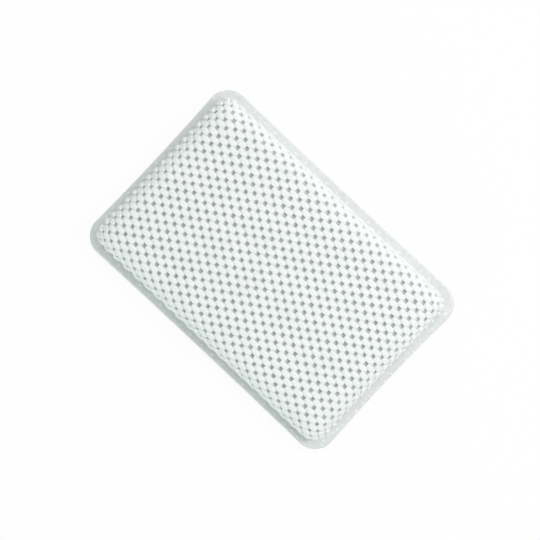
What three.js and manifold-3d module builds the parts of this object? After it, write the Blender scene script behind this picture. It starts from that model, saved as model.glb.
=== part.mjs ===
// Bath pillow: a domed cover of open foam mesh over a foam core, welded at its edge to a vinyl back sheet.
// Six suction cups are pushed through welded patches on the back, and turn in them.
// Millimetres, +Z up. The origin is below the middle of the pillow, on the surface that the cups stand on.

import * as THREE from "three";
import { mergeVertices } from "three/addons/utils/BufferGeometryUtils.js";
import Module from "manifold-3d";

// Padded cover: its length and width are taken over the corners, at the widest line
const COVER_LENGTH = 306.6;
const COVER_WIDTH = 199;
const COVER_DRAW_IN = 0.8;
const SIDE_BULGE = 3.5;
const BULGE_HEIGHT = 10;
const SHOULDER_REACH = 20;
const SHOULDER_HEIGHT = 20;
const TOP_CORNER_RADIUS = 6;
const CORNER_SQUARENESS = 4;
const CROWN_RISE = 2.5;
const CORNER_DROOP = 3;

// Open mesh of the cover: beads and openings alternate like the squares of a chessboard
const MESH_THICKNESS = 5.5;
const BEAD_PITCH_X = 7.4;
const BEAD_PITCH_Y = 5.2;
const OPENING_DEPTH = 3.6;

// Flat border, where the mesh is crushed and welded to the back sheet
const BORDER_END_REACH = 8.7;
const BORDER_SIDE_REACH = 7.6;
const BORDER_END_DRAW_IN = 1.8;
const BORDER_SIDE_DRAW_IN = 0.8;
const BORDER_CORNER_RADIUS = 24;
const BORDER_THICKNESS = 1.2;

// Back sheet and the round patches welded to it
const SHEET_THICKNESS = 0.8;
const PATCH_DIAMETER = 28;
const PATCH_THICKNESS = 1;

// Suction cups, in columns along the pillow and rows across it
const CUP_COLUMNS = 3;
const CUP_ROWS = 2;
const CUP_SPACING_X = 105;
const CUP_SPACING_Y = 104;
const CUP_DIAMETER = 44;
const CUP_HEIGHT = 11;
const CUP_LIP_WIDTH = 3;
const CUP_LIP_THICKNESS = 0.9;
const CUP_HOLLOW_DEPTH = 6.2;
const CUP_CROWN_THICKNESS = 2.2;
const CUP_HUB_DIAMETER = 15;
const CUP_NECK_DIAMETER = 8;
const CUP_HEAD_DIAMETER = 15;
const CUP_HEAD_RIM = 1;
const CUP_HEAD_HEIGHT = 3.8;

// Clearances
const WELD_GAP = 0.05;
const SEAT_CLEARANCE = 0.3;
const NECK_CLEARANCE = 0.4;
const FOAM_CLEARANCE = 0.3;

// Fineness of the curved surfaces
const ROUND_SEGMENTS = 24;
const OUTLINE_SEGMENTS = 6;
const PROFILE_SEGMENTS = 4;
const BULGE_STEPS = 2;
const SHOULDER_STEPS = 4;
const CORNER_STEPS = 5;

// Heights of the stacked layers
const PATCH_BOTTOM = CUP_HEIGHT + SEAT_CLEARANCE;
const SHEET_BOTTOM = PATCH_BOTTOM + PATCH_THICKNESS + WELD_GAP;
const SHEET_TOP = SHEET_BOTTOM + SHEET_THICKNESS;
const BORDER_BOTTOM = SHEET_TOP + WELD_GAP;
const BORDER_TOP = BORDER_BOTTOM + BORDER_THICKNESS;
const HEAD_BOTTOM = SHEET_TOP + SEAT_CLEARANCE;
const HEAD_TOP = HEAD_BOTTOM + CUP_HEAD_HEIGHT;
const CUP_HOLE_RADIUS = CUP_NECK_DIAMETER / 2 + NECK_CLEARANCE;

// Reach of the cover's rounded corners at the widest line, and the places that they are rounded about
const CORNER_REACH = TOP_CORNER_RADIUS + SHOULDER_REACH;
const CORNER_X = COVER_LENGTH / 2 - CORNER_REACH;
const CORNER_Y = COVER_WIDTH / 2 - CORNER_REACH;

const wasm = await Module();
wasm.setup();

function toSolid(geometry) {
  const bare = geometry.clone();
  bare.deleteAttribute("normal");
  bare.deleteAttribute("uv");
  const merged = mergeVertices(bare);
  return new wasm.Manifold(
    new wasm.Mesh({
      numProp: 3,
      vertProperties: new Float32Array(merged.attributes.position.array),
      triVerts: new Uint32Array(merged.index.array),
    }),
  );
}

function toGeometry(solid) {
  const { vertProperties, triVerts } = solid.getMesh();
  const geometry = new THREE.BufferGeometry();
  geometry.setAttribute("position", new THREE.BufferAttribute(vertProperties, 3));
  geometry.setIndex(new THREE.BufferAttribute(triVerts, 1));
  return geometry;
}

// A flat plate between two heights
function plate(shape, bottom, top, curveSegments) {
  const geometry = new THREE.ExtrudeGeometry(shape, { depth: 1, bevelEnabled: false, curveSegments });
  const position = geometry.attributes.position;
  for (let i = 0; i < position.count; i += 1) {
    position.setZ(i, position.getZ(i) === 0 ? bottom : top);
  }
  return geometry;
}

function disc(x, y, radius, bottom, top) {
  const shape = new THREE.Shape().absarc(x, y, radius, 0, 2 * Math.PI, false);
  return plate(shape, bottom, top, ROUND_SEGMENTS / 2);
}

// The border's outline: round corners joined by sides that draw in towards their middles
function borderOutline() {
  const halfLength = COVER_LENGTH / 2 + BORDER_END_REACH;
  const halfWidth = COVER_WIDTH / 2 + BORDER_SIDE_REACH;
  const radius = BORDER_CORNER_RADIUS;
  const cornerX = halfLength - radius;
  const cornerY = halfWidth - radius;
  const sideX = halfLength - 2 * BORDER_END_DRAW_IN;
  const sideY = halfWidth - 2 * BORDER_SIDE_DRAW_IN;
  const quarter = Math.PI / 2;
  const outline = new THREE.Shape();
  outline.moveTo(halfLength, -cornerY);
  outline.quadraticCurveTo(sideX, 0, halfLength, cornerY);
  outline.absarc(cornerX, cornerY, radius, 0, quarter, false);
  outline.quadraticCurveTo(0, sideY, -cornerX, halfWidth);
  outline.absarc(-cornerX, cornerY, radius, quarter, 2 * quarter, false);
  outline.quadraticCurveTo(-sideX, 0, -halfLength, -cornerY);
  outline.absarc(-cornerX, -cornerY, radius, 2 * quarter, 3 * quarter, false);
  outline.quadraticCurveTo(0, -sideY, cornerX, -halfWidth);
  outline.absarc(cornerX, -cornerY, radius, 3 * quarter, 4 * quarter, false);
  return outline;
}

// The dome's edge in section, from the weld out round the bulge and over the shoulder to the top.
// Its points give the distance out from the weld line and the height above the border.
function edgeSection(inset) {
  const shoulderReach = SHOULDER_REACH - inset;
  const shoulderHeight = SHOULDER_HEIGHT - inset;
  const shoulderStart = SIDE_BULGE - shoulderReach;
  const quarter = Math.PI / 2;
  const section = new THREE.CurvePath();
  const widest = BULGE_HEIGHT;
  section.add(new THREE.EllipseCurve(0, widest, SIDE_BULGE, BULGE_HEIGHT, -quarter, 0));
  section.add(new THREE.EllipseCurve(shoulderStart, widest, shoulderReach, shoulderHeight, 0, quarter));
  return section;
}

// The share of a middle's rise that is left at a distance from it, from 1 in the middle to 0 at the edge
function towardsMiddle(distance, halfSpan) {
  return Math.max(0, 1 - (distance / halfSpan) ** 2);
}

// Draws the sides in between the corners, crowns the top and lets its corners droop
function settle(x, y, height) {
  const middleX = towardsMiddle(x, COVER_LENGTH / 2);
  const middleY = towardsMiddle(y, COVER_WIDTH / 2);
  const share = height / (BULGE_HEIGHT + SHOULDER_HEIGHT);
  const rise = CROWN_RISE * middleX * middleY - CORNER_DROOP * (1 - middleX) * (1 - middleY);
  return new THREE.Vector3(
    x - Math.sign(x) * COVER_DRAW_IN * middleY * (1 - middleX),
    y - Math.sign(y) * COVER_DRAW_IN * middleX * (1 - middleY),
    BORDER_TOP + height + share * rise,
  );
}

// Distance from a corner's centre, counted so that the points at one distance lie on a squarish curve
function cornerDistance(pastX, pastY) {
  return (pastX ** CORNER_SQUARENESS + pastY ** CORNER_SQUARENESS) ** (1 / CORNER_SQUARENESS);
}

// Drapes the flat mesh over the dome: a point of the sheet, from its middle, finds its place on the pillow.
// Past the shoulder and the bulge the sheet lies flat on the border.
function drape(section, sheetX, sheetY) {
  const pastX = Math.max(0, Math.abs(sheetX) - CORNER_X);
  const pastY = Math.max(0, Math.abs(sheetY) - CORNER_Y);
  const past = cornerDistance(pastX, pastY);
  const fromTop = past - TOP_CORNER_RADIUS;
  if (fromTop <= 0) {
    return settle(sheetX, sheetY, BULGE_HEIGHT + SHOULDER_HEIGHT);
  }
  const fromWeld = section.getLength() - fromTop;
  const flat = { x: -fromWeld, y: 0 };
  const onEdge = fromWeld > 0 ? section.getPoint(fromWeld / section.getLength()) : flat;
  const reach = CORNER_REACH - SIDE_BULGE + onEdge.x;
  const x = Math.min(Math.abs(sheetX), CORNER_X) + (reach * pastX) / past;
  const y = Math.min(Math.abs(sheetY), CORNER_Y) + (reach * pastY) / past;
  return settle(Math.sign(sheetX) * x, Math.sign(sheetY) * y, onEdge.y);
}

// The draped mesh's smooth upper surface: a grid of points, with each quad split between its two beads
function drapedSurface(columns, rows) {
  const section = edgeSection(0);
  const points = [];
  const index = [];
  for (let row = 0; row < rows; row += 1) {
    for (let column = 0; column < columns; column += 1) {
      const sheetX = (column - (columns - 1) / 2) * BEAD_PITCH_X;
      const sheetY = (row - (rows - 1) / 2) * BEAD_PITCH_Y;
      points.push(drape(section, sheetX, sheetY));
    }
  }
  for (let row = 0; row < rows - 1; row += 1) {
    for (let column = 0; column < columns - 1; column += 1) {
      const a = row * columns + column;
      const b = a + 1;
      const c = b + columns;
      const d = a + columns;
      index.push(...(isBead(row, column) ? [a, b, c, a, c, d] : [a, b, d, b, c, d]));
    }
  }
  const surface = new THREE.BufferGeometry().setFromPoints(points);
  surface.setIndex(index);
  surface.computeVertexNormals();
  return surface;
}

function isBead(row, column) {
  return (row + column) % 2 === 0;
}

// Sinks the openings between the beads, above the widest line
function sinkOpenings(surface, columns, rows) {
  const { position, normal } = surface.attributes;
  const point = new THREE.Vector3();
  const outward = new THREE.Vector3();
  for (let i = 0; i < columns * rows; i += 1) {
    point.fromBufferAttribute(position, i);
    outward.fromBufferAttribute(normal, i);
    const isPadded = point.z > BORDER_TOP + BULGE_HEIGHT;
    if (isPadded && !isBead(Math.floor(i / columns), i % columns)) {
      point.addScaledVector(outward, -OPENING_DEPTH);
      position.setXYZ(i, point.x, point.y, point.z);
    }
  }
}

// The indices round the edge of a grid, anticlockwise from above
function gridEdge(columns, rows) {
  const edge = [];
  for (let column = 0; column < columns - 1; column += 1) {
    edge.push(column);
  }
  for (let row = 0; row < rows - 1; row += 1) {
    edge.push(row * columns + columns - 1);
  }
  for (let column = columns - 1; column > 0; column -= 1) {
    edge.push((rows - 1) * columns + column);
  }
  for (let row = rows - 1; row > 0; row -= 1) {
    edge.push(row * columns);
  }
  return edge;
}

// Closes a surface with a wall straight down from its edge and a flat base
function closeDown(surface, edge, base) {
  const coordinates = Array.from(surface.attributes.position.array);
  const index = Array.from(surface.index.array);
  const first = coordinates.length / 3;
  const middle = first + edge.length;
  edge.forEach((i) => coordinates.push(coordinates[3 * i], coordinates[3 * i + 1], base));
  coordinates.push(0, 0, base);
  edge.forEach((upper, k) => {
    const next = (k + 1) % edge.length;
    index.push(upper, first + k, first + next);
    index.push(upper, first + next, edge[next]);
    index.push(middle, first + next, first + k);
  });
  const closed = new THREE.BufferGeometry();
  closed.setAttribute("position", new THREE.Float32BufferAttribute(coordinates, 3));
  closed.setIndex(index);
  return closed;
}

// The whole mesh as a solid, padded in the middle and crushed flat outside, before its border is cut out
function drapedMesh() {
  const edgeLength = edgeSection(0).getLength();
  const weldX = CORNER_X + TOP_CORNER_RADIUS + edgeLength;
  const weldY = CORNER_Y + TOP_CORNER_RADIUS + edgeLength;
  const columns = 2 * Math.ceil((weldX + SIDE_BULGE + BORDER_END_REACH) / BEAD_PITCH_X) + 3;
  const rows = 2 * Math.ceil((weldY + SIDE_BULGE + BORDER_SIDE_REACH) / BEAD_PITCH_Y) + 3;
  const surface = drapedSurface(columns, rows);
  sinkOpenings(surface, columns, rows);
  return closeDown(surface, gridEdge(columns, rows), BORDER_BOTTOM);
}

// A ring round the dome, of points at one distance from the corners' centres
function domeRing(reach, height) {
  const ring = [];
  for (let corner = 0; corner < 4; corner += 1) {
    const signX = corner === 0 || corner === 3 ? 1 : -1;
    const signY = corner < 2 ? 1 : -1;
    for (let step = 0; step <= CORNER_STEPS; step += 1) {
      const angle = ((corner + step / CORNER_STEPS) * Math.PI) / 2;
      const pastX = Math.cos(angle);
      const pastY = Math.sin(angle);
      const scale = reach / cornerDistance(Math.abs(pastX), Math.abs(pastY));
      ring.push(settle(signX * CORNER_X + scale * pastX, signY * CORNER_Y + scale * pastY, height));
    }
  }
  return ring;
}

// A smooth dome that lies a given depth below the mesh's outer surface, closed by a flat base
function smoothDome(inset, base) {
  const weldReach = CORNER_REACH - SIDE_BULGE - inset;
  const [bulge, shoulder] = edgeSection(inset).curves;
  const edge = bulge.getSpacedPoints(BULGE_STEPS).concat(shoulder.getSpacedPoints(SHOULDER_STEPS).slice(1));
  const rings = edge.map((point) => domeRing(weldReach + point.x, point.y));
  const count = rings[0].length;
  const index = [];
  for (let lower = 0; lower < rings.length - 1; lower += 1) {
    for (let k = 0; k < count; k += 1) {
      const a = lower * count + k;
      const b = lower * count + ((k + 1) % count);
      index.push(a, b, b + count, a, b + count, a + count);
    }
  }
  const middle = rings.length * count;
  for (let k = 0; k < count; k += 1) {
    index.push(middle, middle - count + k, middle - count + ((k + 1) % count));
  }
  const crown = settle(0, 0, BULGE_HEIGHT + SHOULDER_HEIGHT - inset);
  const surface = new THREE.BufferGeometry().setFromPoints([...rings.flat(), crown]);
  surface.setIndex(index);
  return closeDown(surface, Array.from({ length: count }, (_, k) => k), base);
}

function meshCover() {
  const dieTop = BORDER_TOP + BULGE_HEIGHT + SHOULDER_HEIGHT + CROWN_RISE + SEAT_CLEARANCE;
  const die = toSolid(plate(borderOutline(), SHEET_BOTTOM, dieTop, OUTLINE_SEGMENTS));
  const cavity = toSolid(smoothDome(MESH_THICKNESS, SHEET_BOTTOM));
  return toGeometry(toSolid(drapedMesh()).intersect(die).subtract(cavity));
}

// The pad fills the cover and rests on the back sheet, with a pocket over the head of each cup
function foamCore() {
  const pad = toSolid(smoothDome(MESH_THICKNESS + FOAM_CLEARANCE, SHEET_TOP + FOAM_CLEARANCE));
  const pocketRadius = CUP_HEAD_DIAMETER / 2 + FOAM_CLEARANCE;
  const pockets = cupPlaces().map(({ x, y }) =>
    toSolid(disc(x, y, pocketRadius, SHEET_BOTTOM, HEAD_TOP + FOAM_CLEARANCE)),
  );
  return toGeometry(pockets.reduce((solid, pocket) => solid.subtract(pocket), pad));
}

function backSheet() {
  const outline = borderOutline();
  cupPlaces().forEach(({ x, y }) => {
    outline.holes.push(new THREE.Path().absarc(x, y, CUP_HOLE_RADIUS, 0, 2 * Math.PI, true));
  });
  return plate(outline, SHEET_BOTTOM, SHEET_TOP, ROUND_SEGMENTS / 2);
}

// A round patch with the hole for a cup's neck, about its own middle
function cupPatch() {
  const outline = new THREE.Shape().absarc(0, 0, PATCH_DIAMETER / 2, 0, 2 * Math.PI, false);
  outline.holes.push(new THREE.Path().absarc(0, 0, CUP_HOLE_RADIUS, 0, 2 * Math.PI, true));
  return plate(outline, PATCH_BOTTOM, PATCH_BOTTOM + PATCH_THICKNESS, ROUND_SEGMENTS / 2);
}

// A cup turned about its own axis: hollow, flat lip, flared skirt, hub, neck and mushroom head
function suctionCup() {
  const lipRadius = CUP_DIAMETER / 2;
  const hollowRadius = lipRadius - CUP_LIP_WIDTH;
  const hubRadius = CUP_HUB_DIAMETER / 2;
  const neckRadius = CUP_NECK_DIAMETER / 2;
  const headRadius = CUP_HEAD_DIAMETER / 2;
  const skirtTop = CUP_HOLLOW_DEPTH + CUP_CROWN_THICKNESS;
  const profile = new THREE.Path();
  profile.moveTo(0, CUP_HOLLOW_DEPTH);
  profile.quadraticCurveTo(hubRadius, CUP_HOLLOW_DEPTH, hollowRadius, 0);
  profile.lineTo(lipRadius, 0);
  profile.lineTo(lipRadius, CUP_LIP_THICKNESS);
  profile.quadraticCurveTo(hubRadius + CUP_LIP_WIDTH, skirtTop, hubRadius, skirtTop);
  profile.lineTo(hubRadius, CUP_HEIGHT);
  profile.lineTo(neckRadius, CUP_HEIGHT);
  profile.lineTo(neckRadius, HEAD_BOTTOM);
  profile.lineTo(headRadius, HEAD_BOTTOM);
  profile.lineTo(headRadius, HEAD_BOTTOM + CUP_HEAD_RIM);
  profile.quadraticCurveTo(headRadius, HEAD_TOP, 0, HEAD_TOP);
  return new THREE.LatheGeometry(profile.getPoints(PROFILE_SEGMENTS), ROUND_SEGMENTS).rotateX(Math.PI / 2);
}

// Where the cups stand: row by row, evenly about the middle
function cupPlaces() {
  const places = [];
  for (let row = 0; row < CUP_ROWS; row += 1) {
    for (let column = 0; column < CUP_COLUMNS; column += 1) {
      places.push({
        x: (column - (CUP_COLUMNS - 1) / 2) * CUP_SPACING_X,
        y: (row - (CUP_ROWS - 1) / 2) * CUP_SPACING_Y,
      });
    }
  }
  return places;
}

const foamedVinyl = new THREE.MeshStandardMaterial({ color: 0xeef2f0, roughness: 0.75, metalness: 0 });
const softFoam = new THREE.MeshStandardMaterial({ color: 0xdfe5e2, roughness: 0.95, metalness: 0 });
const sheetVinyl = new THREE.MeshStandardMaterial({ color: 0xd3dad7, roughness: 0.45, metalness: 0 });
const clearVinyl = new THREE.MeshStandardMaterial({ color: 0xdfe9e8, roughness: 0.2, metalness: 0 });

function addPiece(group, name, geometry, material) {
  const mesh = new THREE.Mesh(geometry, material);
  mesh.name = name;
  group.add(mesh);
}

const pillow = new THREE.Group();
addPiece(pillow, "mesh_cover", meshCover(), foamedVinyl);
addPiece(pillow, "foam_core", foamCore(), softFoam);
addPiece(pillow, "back_sheet", backSheet(), sheetVinyl);
cupPlaces().forEach(({ x, y }, i) => {
  const station = new THREE.Group();
  station.position.set(x, y, 0);
  addPiece(station, `cup_patch_${i + 1}`, cupPatch(), sheetVinyl);
  addPiece(station, `suction_cup_${i + 1}`, suctionCup(), clearVinyl);
  pillow.add(station);
});

export default pillow;
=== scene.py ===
# Looks of a bath pillow, in metres, in the frame of its solids.
# A net of foamed-vinyl beads is draped over a foam pad and welded at its border to a vinyl back sheet.
import math

import bmesh
import bpy
import numpy as np
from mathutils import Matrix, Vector
from mathutils.geometry import delaunay_2d_cdt

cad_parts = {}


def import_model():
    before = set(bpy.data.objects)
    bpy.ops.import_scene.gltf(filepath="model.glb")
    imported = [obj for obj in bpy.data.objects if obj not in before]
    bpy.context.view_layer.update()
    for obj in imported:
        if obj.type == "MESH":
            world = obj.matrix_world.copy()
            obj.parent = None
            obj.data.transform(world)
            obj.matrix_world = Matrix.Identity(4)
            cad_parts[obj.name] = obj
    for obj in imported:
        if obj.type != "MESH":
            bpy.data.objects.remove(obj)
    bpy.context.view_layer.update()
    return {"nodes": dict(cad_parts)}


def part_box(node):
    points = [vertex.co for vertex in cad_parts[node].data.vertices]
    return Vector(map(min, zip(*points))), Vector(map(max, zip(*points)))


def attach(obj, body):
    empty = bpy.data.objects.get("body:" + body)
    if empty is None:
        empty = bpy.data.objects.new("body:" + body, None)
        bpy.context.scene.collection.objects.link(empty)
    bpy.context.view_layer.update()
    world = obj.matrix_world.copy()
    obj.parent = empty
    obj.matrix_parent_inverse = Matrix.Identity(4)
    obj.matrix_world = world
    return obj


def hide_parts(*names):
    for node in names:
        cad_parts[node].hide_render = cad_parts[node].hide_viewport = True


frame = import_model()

MM = 0.001
SEED = 7
TINY = 1e-9
MERGE_DISTANCE = 0.002 * MM

# Signs of the four corners, going round
CORNERS = np.array([[1, 1], [-1, 1], [-1, -1], [1, -1]])

# Padded dome: its length and width are taken over the corners, at the widest line
COVER_LENGTH = 306 * MM
COVER_WIDTH = 197 * MM
COVER_DRAW_IN = 0.8 * MM
COVER_SHIFT = -0.4 * MM
SIDE_BULGE = 6 * MM
BULGE_HEIGHT = 10.5 * MM
SHOULDER_REACH = 16 * MM
SHOULDER_HEIGHT = 16 * MM
TOP_CORNER_RADIUS = 18 * MM
CORNER_SQUARENESS = 5
CROWN_RISE = 4.5 * MM
CORNER_DROOP = 3 * MM
SECTION_STEPS = 240

# Swelling of the stuffed cover, on a grid that reaches past the weld
SKIN_STEP = 4 * MM
SKIN_MARGIN = 22 * MM
SWELL_ROOM = 0.2 * MM
SWELL_EDGE = 8 * MM
SWELL_CAP = 0.5 * MM
SWELL_PRESSURE = 4
SWELL_FRAMES = 20

# Net of beads and openings, which lies slightly askew and is pulled at its low and high side
ROW_STEP = np.array([7.335, -0.045]) * MM
COLUMN_STEP = np.array([0.021, 5.15]) * MM
NET_SHIFT = np.array([2.13, -3.4]) * MM
NET_BOW = 0.8 * MM
NET_NARROWING = 0.022
NET_PULL = np.array([-1.0, 4.3]) * MM
NET_PULL_POWER = 4
NET_SITES = 29
NET_TUCK = 5 * MM

# Beads and openings: shares run from an opening's edge to the crests of the beads round it
BEAD_RISE = 2.4 * MM
NECK_RISE = 1.2 * MM
BEAD_DROP = 0.6 * MM
OPENING_HALF = np.array([1.78, 1.95]) * MM
OPENING_PINCH = np.array([0.05, 0]) * MM
TOP_SHARES = (0.02, 0.08, 0.22, 0.45, 0.72, 1)
BOTTOM_SHARES = (1, 0.2, 0)
BEAD_FULLNESS = 2
SIDE_FULLNESS = 4.8
END_FULLNESS = 4
BEAD_SPREAD = 0.03
OPENING_SPREAD = 0.025

# Steps in the lattice from an opening to the four beads round it, and points from bead to bead
BEAD_STEPS = np.array([[1, 0], [0, 1], [-1, 0], [0, -1]])
EDGE_STEPS = 6
EDGE_SHARES = np.arange(EDGE_STEPS) / EDGE_STEPS

# One row of beads stands out at the dome's widest line, and just above it the openings close to slits
FOLD_START = (-4 * MM, -0.5 * MM)
FOLD_END = (4.5 * MM, 8 * MM)
FOLD_RELIEF = 0.7
FOLD_FULLNESS = 3
SLIT_START = (3 * MM, 6 * MM)
SLIT_END = (8 * MM, 14 * MM)
SLIT_CLOSING = 0.35

# The net is crushed flat as it runs into the weld, down into the border film
CRUSH_ZONE = (-1 * MM, 13 * MM)
CRUSHED_SHARE = 0.1
CRUSHED_DEPTH = 0.6 * MM

# Welded border, which is cut unevenly: flares are given at the low and high corners
BORDER_CORNER_RADIUS = 22 * MM
BORDER_SQUARENESS = 2
BORDER_END_DRAW_IN = (1.4 * MM, 1.8 * MM)
BORDER_SIDE_DRAW_IN = 0.8 * MM
BORDER_FLARE_X = np.array([[-2.0, -0.8], [0.5, 0.6]]) * MM
BORDER_FLARE_Y = np.array([[0.5, -0.8], [-0.4, 0.4]]) * MM
BORDER_THICKNESS = 1.2 * MM
CORNER_STEPS = 14
LONG_STEPS = 44
SHORT_STEPS = 28

# Border film: shares run from the weld to the rim, and its flap behind the net is by inside and depth
RIM_ROUNDING = 0.3 * MM
RIM_DROP = 0.15 * MM
FILM_BOTTOM_SHARES = (0, 0.5, 1)
FILM_TOP_SHARES = (0.85, 0.5, 0.15)
FLAP_BACK = np.array([[9, 4.4], [4, 2.6]]) * MM
FLAP_FRONT = np.array([[0, 0.1], [2, 0.9], [4, 1.7], [9, 3.4]]) * MM

# Waves of the border, each by its rate along and across, its phase and its share
FLUTTER = 0.35 * MM
FLUTTER_REACH = 7 * MM
FLUTTER_WAVES = ((41, 0, 1.3, 1), (0, 53, 0.4, 1), (97, -97, 0, 0.6))

# Beads that the weld has crushed into the border film
DOT_HALF = np.array([1.8, 1.5]) * MM
DOT_SIZES = (0.6, 1.15)
DOT_RISE = 0.35 * MM
DOT_RISES = (0.6, 1.2)
DOT_SHOULDER = 0.6
DOT_RADII = (1, 0.8, 0.4)
DOT_SINK = 0.2 * MM
DOT_ROOM = 0.9 * MM
DOT_SHIFT_LOW = np.array([-3, 2.4]) * MM
DOT_SHIFT_HIGH = np.array([3, -5.2]) * MM
DOT_SEGMENTS = 14

# Foam pad, with pockets for the heads of the cups
PAD_DEPTH = 3.35 * MM
PAD_PRESS = 0.6 * MM
PAD_PRESS_ZONE = (-8 * MM, 4 * MM)
PAD_INSET = 5 * MM
PAD_TOP_INSET = 1 * MM
PAD_CLEARANCE = 0.3 * MM
PAD_RINGS = 9
PAD_SHRINK = (0.85, 0.65, 0.45, 0.25, 0.1)
POCKET_RADIUS = 7.8 * MM
POCKET_TOP = 17.55 * MM
POCKET_SEGMENTS = 40

# Back sheet, meshed between loops along its edge and round its holes
SHEET_INSETS = (0.35 * MM, 2 * MM, 10.5 * MM, 12 * MM)
SHEET_GRID = 6 * MM
SHEET_GRID_INSET = 15 * MM
DELAUNAY_INSIDE = 1
DELAUNAY_MERGE = 1e-7
HOLE_RADIUS = 4.4 * MM
HOLE_LOOP_RADIUS = 8 * MM
HOLE_SEGMENTS = 36
PUCKER = 0.5 * MM
PUCKER_INSET = 14 * MM
PUCKER_EDGE = 25 * MM
PUCKER_PATCH_EDGE = 30 * MM
PUCKER_WAVES = ((70, -83, 2.6708, 0.5), (70, 83, 2.6708, -0.5), (160, 112, 0, 0.5))

# Patches, each with a weld groove
PATCH_RADIUS = 14 * MM
PATCH_ROOM = 2 * MM
PATCH_EDGE = 0.25 * MM
PATCH_SEGMENTS = 64
GROOVE_INNER = 10.4 * MM
GROOVE_OUTER = 12.6 * MM
GROOVE_SLOPE = 0.4 * MM
GROOVE_DEPTH = 0.3 * MM

# Profile of a cup, by radius and height in mm: curves by start, corner and end, and plain points
CUP_HOLLOW = ((0.4, 6.2), (7.5, 6.2), (19, 0))
CUP_LIP = ((21.4, 0), (22, 0.35), (22, 0.8), (21.5, 1.15), (20.4, 1.3))
CUP_CROWN = ((20.4, 1.3), (10.5, 8.1), (8.1, 8.4))
CUP_HUB_FOOT = ((8.1, 8.4), (7.5, 8.4), (7.5, 9))
CUP_HUB_TOP = ((7.5, 10.6), (7.35, 10.9), (7, 11), (4.5, 11))
CUP_NECK_FOOT = ((4.5, 11), (4, 11), (4, 11.5))
CUP_HEAD_RIM = ((4, 13), (4.1, 13.4), (4.5, 13.5), (7, 13.5), (7.4, 13.65), (7.5, 14))
CUP_HEAD = ((7.5, 14.45), (7.5, 17.25), (0.4, 17.25))
CUP_SEGMENTS = 72

# Part of a pattern's range that the tints of a material run over
TINT_RANGE = (0.3, 0.7)

# Camera, straight above, at the place of the pillow in the photograph
VIEW_TURN = math.radians(43.38)
VIEW_DISTANCE = 3.0
VIEW_WIDTH = 0.540
PIXELS = 540
PILLOW_PIXEL = (271.035, 268.97)
SENSOR = 36

# Floor, world and lamps, each lamp by its name, place, power and colour
WHITE = (1, 1, 1, 1)
FLOOR_HALF = 2.5
FLOOR_COLOUR = (0.95, 0.95, 0.95, 1)
SHADOW_SHARE = 0.06
WORLD_LIGHT = 0.42
WORLD_COLOUR = (0.91, 1, 0.968, 1)
LAMP_SIZE = 0.9
LAMPS = (
    ("key", (0.95, 0.95, 1.34), 14.9, (1, 0.955, 0.973)),
    ("high", (0, 0.71, 1.76), 6.0, (1, 0.965, 0.978)),
    ("side", (-1.26, 1.26, 0.65), 6.7, (1, 0.98, 0.99)),
    ("low", (0, -1.78, 0.65), 11.3, (0.93, 1, 0.975)),
)

# Layers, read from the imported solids
cover_low, cover_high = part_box("mesh_cover")
sheet_low, sheet_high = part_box("back_sheet")
HALF_LENGTH = cover_high[0]
HALF_WIDTH = cover_high[1]
BORDER_BOTTOM = cover_low[2]
BORDER_TOP = BORDER_BOTTOM + BORDER_THICKNESS
SHEET_BOTTOM = sheet_low[2]
SHEET_TOP = sheet_high[2]
CUPS = range(1, 1 + sum(name.startswith("suction_cup_") for name in frame["nodes"]))

# Places that the dome's and the border's corners are rounded about
CORNER_REACH = TOP_CORNER_RADIUS + SHOULDER_REACH
CORNER_X = COVER_LENGTH / 2 - CORNER_REACH
CORNER_Y = COVER_WIDTH / 2 - CORNER_REACH
BORDER_CORNER_X = HALF_LENGTH - BORDER_CORNER_RADIUS
BORDER_CORNER_Y = HALF_WIDTH - BORDER_CORNER_RADIUS


# Helpers

def smooth_step(value, low, high):
    share = np.clip((value - low) / (high - low), 0, 1)
    return share * share * (3 - 2 * share)


def p_norm(x, y, power):
    return (np.abs(x) ** power + np.abs(y) ** power) ** (1 / power)


def ripple(waves, x, y):
    return sum(share * np.sin(along * x + across * y + phase) for along, across, phase, share in waves)


def circle(segments):
    turn = np.linspace(0, 2 * math.pi, segments, endpoint=False)
    return np.column_stack([np.cos(turn), np.sin(turn)])


def cup_centre(k):
    low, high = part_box(f"suction_cup_{k}")
    return np.array([(low[0] + high[0]) / 2, (low[1] + high[1]) / 2])


def add_piece(name, points, faces, material):
    mesh = bpy.data.meshes.new(name)
    mesh.from_pydata(np.asarray(points).tolist(), [], np.asarray(faces, dtype=object).tolist())
    mesh.materials.append(material)
    mesh.shade_smooth()
    piece = bpy.data.objects.new(name, mesh)
    bpy.context.scene.collection.objects.link(piece)
    return piece


def clean_mesh(piece):
    shape = bmesh.new()
    shape.from_mesh(piece.data)
    bmesh.ops.remove_doubles(shape, verts=shape.verts, dist=MERGE_DISTANCE)
    bmesh.ops.recalc_face_normals(shape, faces=shape.faces)
    shape.to_mesh(piece.data)
    shape.free()


# Says which body a piece rides on, and hides the solid that it stands for
def dress(piece, body, node):
    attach(piece, body)
    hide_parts(node)


# Quads between rings of points that each run round in the same sense
def ring_faces(rings, count, wrap):
    pairs = [(k, k + 1) for k in range(rings - 1)]
    if wrap:
        pairs.append((rings - 1, 0))
    faces = []
    for low, high in pairs:
        for m in range(count):
            n = (m + 1) % count
            faces.append([low * count + m, low * count + n, high * count + n, high * count + m])
    return faces


# A closed piece through rings of points: its ends are capped, or its last ring joins its first
def loft(name, rings, material, wrap=False):
    count = len(rings[0])
    faces = ring_faces(len(rings), count, wrap)
    if not wrap:
        last = (len(rings) - 1) * count
        faces.append(list(range(count)))
        faces.append(list(range(last, last + count)))
    piece = add_piece(name, np.concatenate(rings), faces, material)
    clean_mesh(piece)
    return piece


def at_height(loop, height):
    return np.column_stack([loop, np.full(len(loop), height)])


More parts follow.
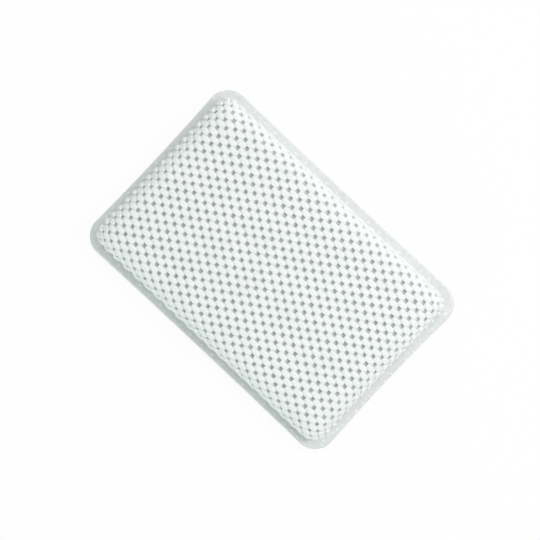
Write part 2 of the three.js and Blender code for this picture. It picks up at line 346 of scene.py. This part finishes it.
def turned_rings(profile, centre, segments):
    return [at_height(centre + radius * circle(segments), height) for radius, height in profile]


# A quadratic curve from its start round its corner to its end, without its first point
def bend(curve, steps):
    start, corner, end = np.array(curve)
    u = np.arange(1, steps + 1)[:, None] / steps
    return (1 - u) ** 2 * start + 2 * u * (1 - u) * corner + u * u * end


# Dome that the net is draped over

# From the weld out round the side bulge and in over the shoulder, by arc length, way out and height
def edge_section():
    turn = np.linspace(0, math.pi / 2, SECTION_STEPS)
    bulge_out = SIDE_BULGE * np.sin(turn)
    bulge_height = BULGE_HEIGHT * (1 - np.cos(turn))
    shoulder_out = SIDE_BULGE - SHOULDER_REACH * (1 - np.cos(turn))
    shoulder_height = BULGE_HEIGHT + SHOULDER_HEIGHT * np.sin(turn)
    out = np.concatenate([bulge_out, shoulder_out[1:]])
    height = np.concatenate([bulge_height, shoulder_height[1:]])
    arc = np.concatenate([[0], np.cumsum(np.hypot(np.diff(out), np.diff(height)))])
    return arc, out, height


EDGE_ARC, EDGE_OUT, EDGE_HEIGHT = edge_section()
WELD_DISTANCE = TOP_CORNER_RADIUS + EDGE_ARC[-1]
WIDEST_INSIDE = EDGE_ARC[np.argmax(EDGE_OUT)]


# How far a point of the flat net lies past the corners' places, along, across and in all
def past_corner(s, t):
    past_x = np.maximum(0, np.abs(s) - CORNER_X)
    past_y = np.maximum(0, np.abs(t) - CORNER_Y)
    return past_x, past_y, p_norm(past_x, past_y, CORNER_SQUARENESS)


# How far a point of the flat net lies inside the weld line
def from_weld(s, t):
    return WELD_DISTANCE - past_corner(s, t)[2]


def towards_middle(distance, half_span):
    return np.maximum(0, 1 - (distance / half_span) ** 2)


# Draws the sides in between the corners, crowns the top and lets its corners droop
def settle(x, y, height):
    middle_x = towards_middle(x, COVER_LENGTH / 2)
    middle_y = towards_middle(y, COVER_WIDTH / 2)
    rise = CROWN_RISE * middle_x * middle_y - CORNER_DROOP * (1 - middle_x) * (1 - middle_y)
    return np.stack([
        x - np.sign(x) * COVER_DRAW_IN * middle_y * (1 - middle_x),
        y - np.sign(y) * COVER_DRAW_IN * middle_x * (1 - middle_y) + COVER_SHIFT,
        BORDER_TOP + height + rise * height / (BULGE_HEIGHT + SHOULDER_HEIGHT),
    ], axis=-1)


# Where a point of the flat net comes to lie on the dome, or flat on the border past the weld
def drape(s, t):
    past_x, past_y, past = past_corner(s, t)
    inside = WELD_DISTANCE - past
    out = np.where(inside > 0, np.interp(inside, EDGE_ARC, EDGE_OUT), -inside)
    height = np.interp(inside, EDGE_ARC, EDGE_HEIGHT)
    on_edge = CORNER_REACH - SIDE_BULGE + out
    reach = np.where(past < TOP_CORNER_RADIUS, past, on_edge)
    scale = reach / np.maximum(past, TINY)
    x = np.sign(s) * (np.minimum(np.abs(s), CORNER_X) + scale * past_x)
    y = np.sign(t) * (np.minimum(np.abs(t), CORNER_Y) + scale * past_y)
    return settle(x, y, height)


def skin_axis(half):
    return np.linspace(-half, half, 2 * round(half / SKIN_STEP) + 1)


# A grid over the flat net, with each point's place on the stuffed dome and the way out of it
class Skin:
    def __init__(self):
        self.s = skin_axis(CORNER_X + WELD_DISTANCE + SKIN_MARGIN)
        self.t = skin_axis(CORNER_Y + WELD_DISTANCE + SKIN_MARGIN)
        self.grid_s, self.grid_t = np.meshgrid(self.s, self.t)
        self.points = drape(self.grid_s, self.grid_t)
        self.normals = self.outward()
        self.swell()

    def outward(self):
        along = np.gradient(self.points, axis=1)
        across = np.gradient(self.points, axis=0)
        normal = np.cross(along, across)
        return normal / np.linalg.norm(normal, axis=-1, keepdims=True)

    # Blows the cover up like a stuffed cushion that is held at its weld, and keeps the capped movement
    def swell(self):
        inside = from_weld(self.grid_s, self.grid_t)
        room = SWELL_ROOM * smooth_step(inside, 0, SWELL_EDGE)
        start = self.points - self.normals * room[..., None]
        move = simulate_swelling(start, inside <= 0) - start
        size = np.linalg.norm(move, axis=-1, keepdims=True)
        self.points = start + move * np.minimum(1, SWELL_CAP / np.maximum(size, TINY))
        self.normals = self.outward()

    # Places on the dome of points of the flat net, lifted off it along its normals
    def place(self, s, t, lift):
        column = (s - self.s[0]) / (self.s[1] - self.s[0])
        row = (t - self.t[0]) / (self.t[1] - self.t[0])
        c = np.clip(column.astype(int), 0, len(self.s) - 2)
        r = np.clip(row.astype(int), 0, len(self.t) - 2)
        u = (column - c)[..., None]
        v = (row - r)[..., None]

        def blend(values):
            low = values[r, c] * (1 - u) + values[r, c + 1] * u
            high = values[r + 1, c] * (1 - u) + values[r + 1, c + 1] * u
            return low * (1 - v) + high * v

        normal = blend(self.normals)
        normal /= np.linalg.norm(normal, axis=-1, keepdims=True)
        return blend(self.points) + normal * np.asarray(lift)[..., None]


# Places of a grid of cloth after it is blown up from its start, with some of its points held
def simulate_swelling(start, held):
    rows, columns = held.shape
    index = np.arange(rows * columns).reshape(rows, columns)
    faces = np.stack([index[:-1, :-1], index[:-1, 1:], index[1:, 1:], index[1:, :-1]], axis=-1)
    mesh = bpy.data.meshes.new("swelling")
    mesh.from_pydata(start.reshape(-1, 3).tolist(), [], faces.reshape(-1, 4).tolist())
    cover = bpy.data.objects.new("swelling", mesh)
    bpy.context.scene.collection.objects.link(cover)
    weld = cover.vertex_groups.new(name="weld")
    weld.add(index[held].tolist(), 1, "REPLACE")
    cloth = cover.modifiers.new("swelling", "CLOTH")
    cloth.settings.vertex_group_mass = "weld"
    cloth.settings.use_pressure = True
    cloth.settings.uniform_pressure_force = SWELL_PRESSURE
    cloth.settings.effector_weights.gravity = 0
    for step in range(1, SWELL_FRAMES + 1):
        bpy.context.scene.frame_set(step)
    blown = cover.evaluated_get(bpy.context.evaluated_depsgraph_get())
    moved = np.empty(rows * columns * 3, dtype=np.float32)
    blown.data.vertices.foreach_get("co", moved)
    bpy.data.objects.remove(cover)
    bpy.context.scene.frame_set(1)
    return moved.reshape(rows, columns, 3).astype(float)


# Net of the padded face

# A site's place in the flat net, which is bowed, and is narrowed and pulled at its long sides
def lattice(columns, rows):
    s = NET_SHIFT[0] + columns * ROW_STEP[0] + rows * COLUMN_STEP[0]
    t = NET_SHIFT[1] + columns * ROW_STEP[1] + rows * COLUMN_STEP[1]
    to_side = np.minimum(1, np.abs(2 * t / COVER_WIDTH)) ** NET_PULL_POWER
    bow = NET_BOW * (2 * s / COVER_LENGTH) ** 2
    return s * (1 - NET_NARROWING * to_side), t + bow + np.where(t < 0, *NET_PULL) * to_side


# Columns and rows of all sites, of which every second one is an opening and the others are beads
def net_sites():
    return np.mgrid[-NET_SITES:NET_SITES + 1, -NET_SITES:NET_SITES + 1]


# Height share of a rounded form, from its edge at 0 to its crest at 1
def arch(share, fullness):
    return (1 - (1 - np.asarray(share)) ** fullness) ** (1 / fullness)


# Share of a band along the dome's widest line, which starts below and ends above as given
def edge_band(inside, start, end):
    above = inside - WIDEST_INSIDE
    return smooth_step(above, *start) - smooth_step(above, *end)


# Lift of the net off the dome, whose surface the crests touch, down to where it is crushed in the weld
def net_lift(inside, height):
    full = smooth_step(inside, *CRUSH_ZONE)
    share = CRUSHED_SHARE + (1 - CRUSHED_SHARE) * full
    return (height - BEAD_RISE) * share - CRUSHED_DEPTH * (1 - full)


# Points round one opening, in steps of the lattice: out on the beads' crests, and on the opening's edge
def tile_plan():
    share = EDGE_SHARES[:, None]
    outer = BEAD_STEPS[:, None] * (1 - share) + np.roll(BEAD_STEPS, -1, axis=0)[:, None] * share
    outer = outer.reshape(-1, 2)
    away = np.abs(outer)
    to_corner = 2 * away.min(axis=1, keepdims=True)
    beside = OPENING_HALF - OPENING_PINCH * (1 - to_corner ** 2)
    edge = np.where(away >= 0.5, beside, OPENING_HALF * to_corner)
    return outer, np.sign(outer) * edge / (ROW_STEP[0], COLUMN_STEP[1])


# Bead heights round each opening, from bead to bead over the necks between them
def tile_rise(crest, column, row):
    corners = [crest[column + dc, row + dr] for dc, dr in BEAD_STEPS]
    swell = arch(np.abs(1 - 2 * EDGE_SHARES), BEAD_FULLNESS)
    rises = []
    for corner, following in zip(corners, corners[1:] + corners[:1]):
        nearer = np.where(EDGE_SHARES <= 0.5, corner[:, None], following[:, None])
        rises.append(NECK_RISE + (nearer - NECK_RISE) * swell)
    return np.concatenate(rises, axis=1)


# Quads of all openings' rings: the last closes under the beads only where no next opening joins on
def tile_faces(tiles, rings, stations, has_neighbour):
    k, m = np.meshgrid(np.arange(rings), np.arange(stations), indexing="ij")
    n = (m + 1) % stations
    up = (k + 1) % rings
    quads = np.stack([k * stations + m, up * stations + m, up * stations + n, k * stations + n], axis=-1)
    first = np.arange(tiles)[:, None, None, None] * rings * stations
    faces = quads[None] + first
    inner = faces[:, :-1].reshape(-1, 4)
    rim = faces[:, -1].reshape(tiles, 4, EDGE_STEPS, 4)[~has_neighbour].reshape(-1, 4)
    return np.concatenate([inner, rim])


# Rings of points round all openings, out under the beads and back over them, by the openings' middles
def tile_rings(skin, middles, width, folded, rise):
    outer, inner = tile_plan()
    edge = inner * width[:, None, None]
    fullness = END_FULLNESS + (SIDE_FULLNESS - END_FULLNESS) * np.abs(outer[:, 1])
    fullness = fullness + (FOLD_FULLNESS - fullness) * folded[:, None]
    levels = [(share, np.full_like(rise, -BEAD_DROP)) for share in BOTTOM_SHARES]
    levels += [(share, rise) for share in TOP_SHARES]
    rings = []
    for share, height in levels:
        site = middles[:, None] + edge + (outer - edge) * share
        s, t = lattice(site[..., 0], site[..., 1])
        rings.append(skin.place(s, t, net_lift(from_weld(s, t), height * arch(share, fullness))))
    return np.stack(rings, axis=1)


def cover_net(skin, material):
    rng = np.random.default_rng(SEED)
    columns, rows = net_sites()
    inside = from_weld(*lattice(columns, rows))
    folded = edge_band(inside, FOLD_START, FOLD_END)
    slits = edge_band(inside, SLIT_START, SLIT_END)
    crest = BEAD_RISE * (1 + BEAD_SPREAD * rng.standard_normal(columns.shape))
    crest *= 1 + FOLD_RELIEF * folded
    width = 1 + OPENING_SPREAD * rng.standard_normal(columns.shape)
    width *= 1 - SLIT_CLOSING * slits
    is_tile = ((columns + rows) % 2 == 0) & (inside > -NET_TUCK)
    column, row = np.nonzero(is_tile)
    middles = np.column_stack([columns[is_tile], rows[is_tile]])
    rise = tile_rise(crest, column, row)
    rings = tile_rings(skin, middles, width[is_tile], folded[is_tile], rise)
    points = rings.reshape(-1, 3)
    points[:, 2] += flutter(*points.T[:2])
    has_neighbour = np.stack([is_tile[column + dc, row + dr] for dc, dr in CORNERS], axis=1)
    faces = tile_faces(*rings.shape[:3], has_neighbour)
    piece = add_piece("cover_net", points, faces, material)
    clean_mesh(piece)
    dress(piece, "pillow", "mesh_cover")


# Loops round the pillow, all with the same number of points

# Each rounded corner is followed by the straight side that leads to the next
def rounded_loop(corner_x, corner_y, reach, squareness):
    loop = []
    for quarter, (sx, sy) in enumerate(CORNERS):
        angle = (quarter + np.linspace(0, 1, CORNER_STEPS + 1)) * math.pi / 2
        x, y = np.cos(angle), np.sin(angle)
        scale = reach / p_norm(x, y, squareness)
        arc = np.column_stack([sx * corner_x + scale * x, sy * corner_y + scale * y])
        is_long = quarter % 2 == 0
        steps = LONG_STEPS if is_long else SHORT_STEPS
        end = arc[-1] * ((-1, 1) if is_long else (1, -1))
        share = np.linspace(0, 1, steps + 1)[1:-1, None]
        loop += [arc, arc[-1] + (end - arc[-1]) * share]
    return np.concatenate(loop)


# Points of the flat net at one distance inside the weld line
def weld_loop(inside):
    return rounded_loop(CORNER_X, CORNER_Y, WELD_DISTANCE - inside, CORNER_SQUARENESS)


# A value that is given at the four corners, and runs evenly between them
def corner_blend(values, x, y):
    share_x = (1 + x / HALF_LENGTH) / 2
    share_y = (1 + y / HALF_WIDTH) / 2
    low = values[0, 0] * (1 - share_y) + values[0, 1] * share_y
    high = values[1, 0] * (1 - share_y) + values[1, 1] * share_y
    return low * (1 - share_x) + high * share_x


# How far the border's ends and sides are drawn in between its corners, less the corners' flares
def draw_in(x, y):
    ends = np.where(x < 0, *BORDER_END_DRAW_IN) * towards_middle(y, BORDER_CORNER_Y)
    sides = BORDER_SIDE_DRAW_IN * towards_middle(x, BORDER_CORNER_X)
    return ends - corner_blend(BORDER_FLARE_X, x, y), sides - corner_blend(BORDER_FLARE_Y, x, y)


# Points of the border at one distance inside its outer edge
def outline_loop(inset):
    reach = BORDER_CORNER_RADIUS - inset
    x, y = rounded_loop(BORDER_CORNER_X, BORDER_CORNER_Y, reach, BORDER_SQUARENESS).T
    ends, sides = draw_in(x, y)
    return np.column_stack([x - np.sign(x) * ends, y - np.sign(y) * sides])


# Room between points of the border and its outer edge
def rim_room(x, y):
    ends, sides = draw_in(x, y)
    past_x = np.maximum(0, np.abs(x) + ends - BORDER_CORNER_X)
    past_y = np.maximum(0, np.abs(y) + sides - BORDER_CORNER_Y)
    return BORDER_CORNER_RADIUS - p_norm(past_x, past_y, BORDER_SQUARENESS)


# The border and the sheet under it wave a little past the dome's widest line
def flutter(x, y):
    past = np.maximum(np.abs(x) - COVER_LENGTH / 2, np.abs(y) - COVER_WIDTH / 2)
    return FLUTTER * ripple(FLUTTER_WAVES, x, y) * smooth_step(past, 0, FLUTTER_REACH)


# Border film: flat from its rounded outer edge to the weld, then up behind the net's lowest beads
def welded_border(skin, material):
    def on_dome(inside, depth):
        s, t = weld_loop(inside).T
        return skin.place(s, t, np.full(len(s), -depth))

    weld = on_dome(0, 0)[:, :2]
    rim = outline_loop(RIM_ROUNDING)

    def across(share, height):
        return at_height(weld + (rim - weld) * share, height)

    rings = [on_dome(inside, depth) for inside, depth in FLAP_BACK]
    rings += [across(share, BORDER_BOTTOM) for share in FILM_BOTTOM_SHARES]
    rings.append(at_height(outline_loop(0), (BORDER_BOTTOM + BORDER_TOP) / 2))
    rings.append(across(1, BORDER_TOP - RIM_DROP))
    rings += [across(share, BORDER_TOP) for share in FILM_TOP_SHARES]
    rings += [on_dome(inside, depth) for inside, depth in FLAP_FRONT]
    for ring in rings:
        ring[:, 2] += flutter(*ring.T[:2])
    piece = loft("welded_border", rings, material, wrap=True)
    dress(piece, "pillow", "mesh_cover")


# Middles of the crushed beads beside the dome, and each one's room to the border's edge
def dot_places(skin):
    columns, rows = net_sites()
    s, t = lattice(columns, rows)
    inside = from_weld(s, t)
    is_bead = ((columns + rows) % 2 == 1) & (inside < 0) & (inside > -SKIN_MARGIN)
    middles = skin.place(s[is_bead], t[is_bead], np.zeros(is_bead.sum()))[:, :2]
    dome_half = np.array([COVER_LENGTH, COVER_WIDTH]) / 2
    past_weld = np.abs(middles) > dome_half - SIDE_BULGE
    middles = middles + np.where(middles < 0, DOT_SHIFT_LOW, DOT_SHIFT_HIGH) * past_weld
    room = rim_room(*middles.T)
    keep = (np.abs(middles) > dome_half).any(axis=1) & (room > DOT_ROOM)
    return middles[keep], room[keep]


def border_beads(skin, material):
    rng = np.random.default_rng(SEED + 1)
    dot_faces = ring_faces(len(DOT_RADII), DOT_SEGMENTS, wrap=False)
    dot_faces.append(list(reversed(range(DOT_SEGMENTS))))
    dot_faces.append([(len(DOT_RADII) - 1) * DOT_SEGMENTS + k for k in range(DOT_SEGMENTS)])
    rings = []
    faces = []
    for middle, room in zip(*dot_places(skin)):
        half = np.minimum(DOT_HALF * rng.uniform(*DOT_SIZES, 2), room)
        rise = DOT_RISE * rng.uniform(*DOT_RISES)
        first = len(rings) * DOT_SEGMENTS
        for radius, height in zip(DOT_RADII, (-DOT_SINK, DOT_SHOULDER * rise, rise)):
            ring = at_height(middle + radius * half * circle(DOT_SEGMENTS), BORDER_TOP + height)
            ring[:, 2] += flutter(*ring.T[:2])
            rings.append(ring)
        faces += [[first + k for k in face] for face in dot_faces]
    piece = add_piece("border_beads", np.concatenate(rings), faces, material)
    dress(piece, "pillow", "mesh_cover")


# Foam pad

# The pad lies at an even depth under the net, and presses up to it on the shoulders
def foam_pad(skin, material):
    def on_dome(loop):
        pressed = 1 - smooth_step(from_weld(*loop.T) - EDGE_ARC[-1], *PAD_PRESS_ZONE)
        return skin.place(*loop.T, PAD_PRESS * pressed - PAD_DEPTH)

    insides = np.linspace(PAD_INSET, WELD_DISTANCE - PAD_TOP_INSET, PAD_RINGS)
    loops = [weld_loop(inside) for inside in insides]
    loops += [loops[-1] * share for share in PAD_SHRINK]
    rings = [on_dome(loop) for loop in loops]
    base = at_height(rings[0][:, :2], SHEET_TOP + PAD_CLEARANCE)
    piece = loft("foam_pad", [base] + rings, material)
    for k in CUPS:
        profile = [(POCKET_RADIUS, SHEET_BOTTOM), (POCKET_RADIUS, POCKET_TOP)]
        pocket = loft("pocket", turned_rings(profile, cup_centre(k), POCKET_SEGMENTS), material)
        cut_away(piece, pocket)
    dress(piece, "pillow", "foam_core")


def cut_away(piece, cutter):
    cut = piece.modifiers.new("cut", "BOOLEAN")
    cut.operation = "DIFFERENCE"
    cut.solver = "EXACT"
    cut.object = cutter
    evaluated = piece.evaluated_get(bpy.context.evaluated_depsgraph_get())
    cut_mesh = bpy.data.meshes.new_from_object(evaluated)
    piece.modifiers.remove(cut)
    piece.data = cut_mesh
    bpy.data.objects.remove(cutter)


# Back sheet

# The stretched sheet is flat at its weld and under the patches, and gives a little downwards elsewhere
def pucker(x, y):
    clear = np.minimum(HALF_LENGTH - np.abs(x), HALF_WIDTH - np.abs(y)) - PUCKER_INSET
    slack = smooth_step(clear, 0, PUCKER_EDGE)
    for k in CUPS:
        away = np.hypot(x - cup_centre(k)[0], y - cup_centre(k)[1]) - PATCH_RADIUS
        slack = slack * smooth_step(away, PATCH_ROOM, PUCKER_PATCH_EDGE)
    return -PUCKER * slack * (1 + ripple(PUCKER_WAVES, x, y))


# Points of the flat sheet: loops along its edge and round its holes, and a grid between them
def sheet_points():
    loops = [outline_loop(inset) for inset in SHEET_INSETS]
    grid_x = np.arange(-HALF_LENGTH, HALF_LENGTH, SHEET_GRID)
    grid_y = np.arange(-HALF_WIDTH, HALF_WIDTH, SHEET_GRID)
    x, y = (values.ravel() for values in np.meshgrid(grid_x, grid_y))
    keep = (np.abs(x) < HALF_LENGTH - SHEET_GRID_INSET) & (np.abs(y) < HALF_WIDTH - SHEET_GRID_INSET)
    for k in CUPS:
        centre = cup_centre(k)
        radii = (HOLE_RADIUS, HOLE_LOOP_RADIUS, PATCH_RADIUS)
        loops += [centre + circle(HOLE_SEGMENTS) * radius for radius in radii]
        keep &= np.hypot(x - centre[0], y - centre[1]) > PATCH_RADIUS + PATCH_ROOM
    return loops, np.column_stack([x, y])[keep]


# Flat mesh of the sheet, with the holes for the cups' necks left open
def sheet_plan():
    loops, grid = sheet_points()
    edges = []
    first = 0
    for loop in loops:
        count = len(loop)
        edges += [(first + k, first + (k + 1) % count) for k in range(count)]
        first += count
    points = [Vector(point) for point in np.concatenate(loops + [grid])]
    made, _, triangles, *_ = delaunay_2d_cdt(points, edges, [], DELAUNAY_INSIDE, DELAUNAY_MERGE)
    flat = np.array([tuple(point) for point in made])
    triangles = np.array(triangles)
    middles = flat[triangles].mean(axis=1)
    for k in CUPS:
        solid = np.hypot(*(middles - cup_centre(k)).T) >= HOLE_RADIUS
        triangles, middles = triangles[solid], middles[solid]
    return flat, triangles


def back_vinyl(material):
    flat, triangles = sheet_plan()
    height = SHEET_TOP + pucker(*flat.T) + flutter(*flat.T)
    piece = add_piece("back_vinyl", np.column_stack([flat, height]), triangles, material)
    thicken = piece.modifiers.new("thickness", "SOLIDIFY")
    thicken.thickness = SHEET_TOP - SHEET_BOTTOM
    thicken.offset = -1
    dress(piece, "pillow", "back_sheet")


# Patches and suction cups

def cup_patch(k, material):
    low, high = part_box(f"cup_patch_{k}")
    bottom, top = low[2], high[2]
    profile = [
        (HOLE_RADIUS, top),
        (HOLE_RADIUS, bottom + PATCH_EDGE),
        (HOLE_RADIUS + PATCH_EDGE, bottom),
        (GROOVE_INNER, bottom),
        (GROOVE_INNER + GROOVE_SLOPE, bottom + GROOVE_DEPTH),
        (GROOVE_OUTER - GROOVE_SLOPE, bottom + GROOVE_DEPTH),
        (GROOVE_OUTER, bottom),
        (PATCH_RADIUS - PATCH_EDGE, bottom),
        (PATCH_RADIUS, bottom + PATCH_EDGE),
        (PATCH_RADIUS, top),
    ]
    rings = turned_rings(profile, cup_centre(k), PATCH_SEGMENTS)
    piece = loft(f"vinyl_patch_{k}", rings, material, wrap=True)
    dress(piece, "pillow", f"cup_patch_{k}")


# From the middle of the hollow, out round the lip, and up over the crown and neck to the top of the head
def cup_profile():
    profile = [
        CUP_HOLLOW[:1],
        bend(CUP_HOLLOW, steps=14),
        CUP_LIP,
        bend(CUP_CROWN, steps=12),
        bend(CUP_HUB_FOOT, steps=4),
        CUP_HUB_TOP,
        bend(CUP_NECK_FOOT, steps=4),
        CUP_HEAD_RIM,
        bend(CUP_HEAD, steps=10),
    ]
    return np.concatenate(profile) * MM


def soft_cup(k, material):
    rings = turned_rings(cup_profile(), cup_centre(k), CUP_SEGMENTS)
    piece = loft(f"soft_cup_{k}", rings, material)
    dress(piece, f"cup_{k}", f"suction_cup_{k}")


# Materials

# A node whose inputs are each given as a value or as the socket that feeds them
def add_node(tree, kind, inputs, **settings):
    made = tree.nodes.new(kind)
    for name, value in settings.items():
        setattr(made, name, value)
    for socket, value in inputs.items():
        if isinstance(value, bpy.types.NodeSocket):
            tree.links.new(value, made.inputs[socket])
        else:
            made.inputs[socket].default_value = value
    return made


def new_material(name, roughness):
    material = bpy.data.materials.new(name)
    material.use_nodes = True
    tree = material.node_tree
    shader = tree.nodes["Principled BSDF"]
    shader.inputs["Roughness"].default_value = roughness
    place = tree.nodes.new("ShaderNodeTexCoord").outputs["Object"]
    return material, tree, shader, place


def noise(tree, place, scale, detail):
    inputs = {"Vector": place, "Scale": scale, "Detail": detail}
    return add_node(tree, "ShaderNodeTexNoise", inputs).outputs["Fac"]


def cells(tree, place, scale):
    inputs = {"Vector": place, "Scale": scale}
    return add_node(tree, "ShaderNodeTexVoronoi", inputs).outputs["Distance"]


# Colours the shader between two tints, by the middle of a pattern's range
def tint(tree, shader, pattern, low, high):
    ramp = add_node(tree, "ShaderNodeValToRGB", {"Fac": pattern})
    for element, colour, position in zip(ramp.color_ramp.elements, (low, high), TINT_RANGE):
        element.color = (*colour, 1)
        element.position = position
    tree.links.new(ramp.outputs["Color"], shader.inputs["Base Color"])


def emboss(tree, shader, pattern, strength, depth):
    inputs = {"Height": pattern, "Strength": strength, "Distance": depth}
    bump = add_node(tree, "ShaderNodeBump", inputs)
    tree.links.new(bump.outputs["Normal"], shader.inputs["Normal"])


def foamed_vinyl():
    material, tree, shader, place = new_material("foamed_vinyl", roughness=0.6)
    blotches = noise(tree, place, scale=55, detail=4)
    pores = noise(tree, place, scale=1600, detail=3)
    tint(tree, shader, blotches, low=(0.865, 0.89, 0.88), high=(0.905, 0.92, 0.915))
    emboss(tree, shader, pores, strength=0.25, depth=0.15 * MM)
    return material


def crushed_film():
    material, tree, shader, place = new_material("crushed_film", roughness=0.4)
    blotches = noise(tree, place, scale=260, detail=4)
    grain = noise(tree, place, scale=900, detail=3)
    tint(tree, shader, blotches, low=(0.705, 0.729, 0.719), high=(0.785, 0.811, 0.80))
    emboss(tree, shader, grain, strength=0.35, depth=0.2 * MM)
    return material


# Partly painted shade: the pad's grey-green tint is darker than the foam's own colour, and stands for
# part of the shade seen down in the net's openings
def soft_foam():
    material, tree, shader, place = new_material("soft_foam", roughness=0.95)
    blotches = noise(tree, place, scale=400, detail=4)
    tint(tree, shader, blotches, low=(0.605, 0.655, 0.64), high=(0.665, 0.715, 0.70))
    emboss(tree, shader, cells(tree, place, scale=900), strength=0.3, depth=0.4 * MM)
    return material


def sheet_vinyl():
    material, tree, shader, place = new_material("sheet_vinyl", roughness=0.38)
    blotches = noise(tree, place, scale=30, detail=3)
    tint(tree, shader, blotches, low=(0.70, 0.75, 0.73), high=(0.76, 0.81, 0.79))
    emboss(tree, shader, cells(tree, place, scale=1100), strength=0.2, depth=0.15 * MM)
    return material


def clear_vinyl():
    material, tree, shader, place = new_material("clear_vinyl", roughness=0.16)
    haze = noise(tree, place, scale=120, detail=3)
    flow = noise(tree, place, scale=300, detail=2)
    tint(tree, shader, haze, low=(0.90, 0.96, 0.955), high=(0.96, 0.99, 0.985))
    emboss(tree, shader, flow, strength=0.08, depth=0.2 * MM)
    shader.inputs["IOR"].default_value = 1.53
    shader.inputs["Transmission Weight"].default_value = 0.82
    return material


# Stage

def camera():
    data = bpy.data.cameras.new("camera")
    data.sensor_width = SENSOR
    data.lens = SENSOR * VIEW_DISTANCE / VIEW_WIDTH
    view = bpy.data.objects.new("camera", data)
    right = (PILLOW_PIXEL[0] - PIXELS / 2) * VIEW_WIDTH / PIXELS
    up = (PIXELS / 2 - PILLOW_PIXEL[1]) * VIEW_WIDTH / PIXELS
    cosine, sine = math.cos(VIEW_TURN), math.sin(VIEW_TURN)
    x = -right * cosine + up * sine
    y = -right * sine - up * cosine
    view.location = (x, y, BORDER_TOP + VIEW_DISTANCE)
    view.rotation_euler = (0, 0, VIEW_TURN)
    bpy.context.scene.collection.objects.link(view)
    bpy.context.scene.camera = view


# 1 for rays from the camera, a reflection or a clear piece, which see white, and 0 for those that light
def seen_directly(tree):
    path = tree.nodes.new("ShaderNodeLightPath")
    total = path.outputs["Is Camera Ray"]
    for ray in ("Is Glossy Ray", "Is Transmission Ray"):
        inputs = {0: total, 1: path.outputs[ray]}
        total = add_node(tree, "ShaderNodeMath", inputs, operation="MAXIMUM").outputs[0]
    return total


def floor():
    material = bpy.data.materials.new("floor")
    material.use_nodes = True
    tree = material.node_tree
    tree.nodes.clear()
    matte = add_node(tree, "ShaderNodeBsdfDiffuse", {"Color": FLOOR_COLOUR}).outputs[0]
    white = add_node(tree, "ShaderNodeEmission", {"Color": WHITE, "Strength": 1}).outputs[0]
    inputs = {0: seen_directly(tree), 1: 1 - SHADOW_SHARE}
    share = add_node(tree, "ShaderNodeMath", inputs, operation="MULTIPLY").outputs[0]
    mix = add_node(tree, "ShaderNodeMixShader", {0: share, 1: matte, 2: white}).outputs[0]
    add_node(tree, "ShaderNodeOutputMaterial", {"Surface": mix})
    piece = add_piece("floor", at_height(FLOOR_HALF * CORNERS, 0), [[0, 1, 2, 3]], material)


def world():
    made = bpy.data.worlds.new("studio")
    made.use_nodes = True
    tree = made.node_tree
    tree.nodes.clear()
    inputs = {"Color": WORLD_COLOUR, "Strength": WORLD_LIGHT}
    dim = add_node(tree, "ShaderNodeBackground", inputs).outputs[0]
    white = add_node(tree, "ShaderNodeBackground", {"Color": WHITE, "Strength": 1}).outputs[0]
    mix = add_node(tree, "ShaderNodeMixShader", {0: seen_directly(tree), 1: dim, 2: white}).outputs[0]
    add_node(tree, "ShaderNodeOutputWorld", {"Surface": mix})
    bpy.context.scene.world = made


# A soft square lamp that points at the pillow
def lamp(name, place, power, colour):
    data = bpy.data.lights.new(name, "AREA")
    data.size = LAMP_SIZE
    data.energy = power
    data.color = colour
    made = bpy.data.objects.new(name, data)
    made.location = place
    made.rotation_euler = (-Vector(place)).to_track_quat("-Z", "Y").to_euler()
    bpy.context.scene.collection.objects.link(made)


def build():
    skin = Skin()
    vinyl, film = foamed_vinyl(), crushed_film()
    sheet, clear = sheet_vinyl(), clear_vinyl()
    cover_net(skin, vinyl)
    welded_border(skin, film)
    border_beads(skin, vinyl)
    foam_pad(skin, soft_foam())
    back_vinyl(sheet)
    for k in CUPS:
        cup_patch(k, sheet)
        soft_cup(k, clear)
    camera()
    floor()
    world()
    for name, place, power, colour in LAMPS:
        lamp(name, place, power, colour)
    bpy.context.scene.view_settings.view_transform = "Standard"


build()
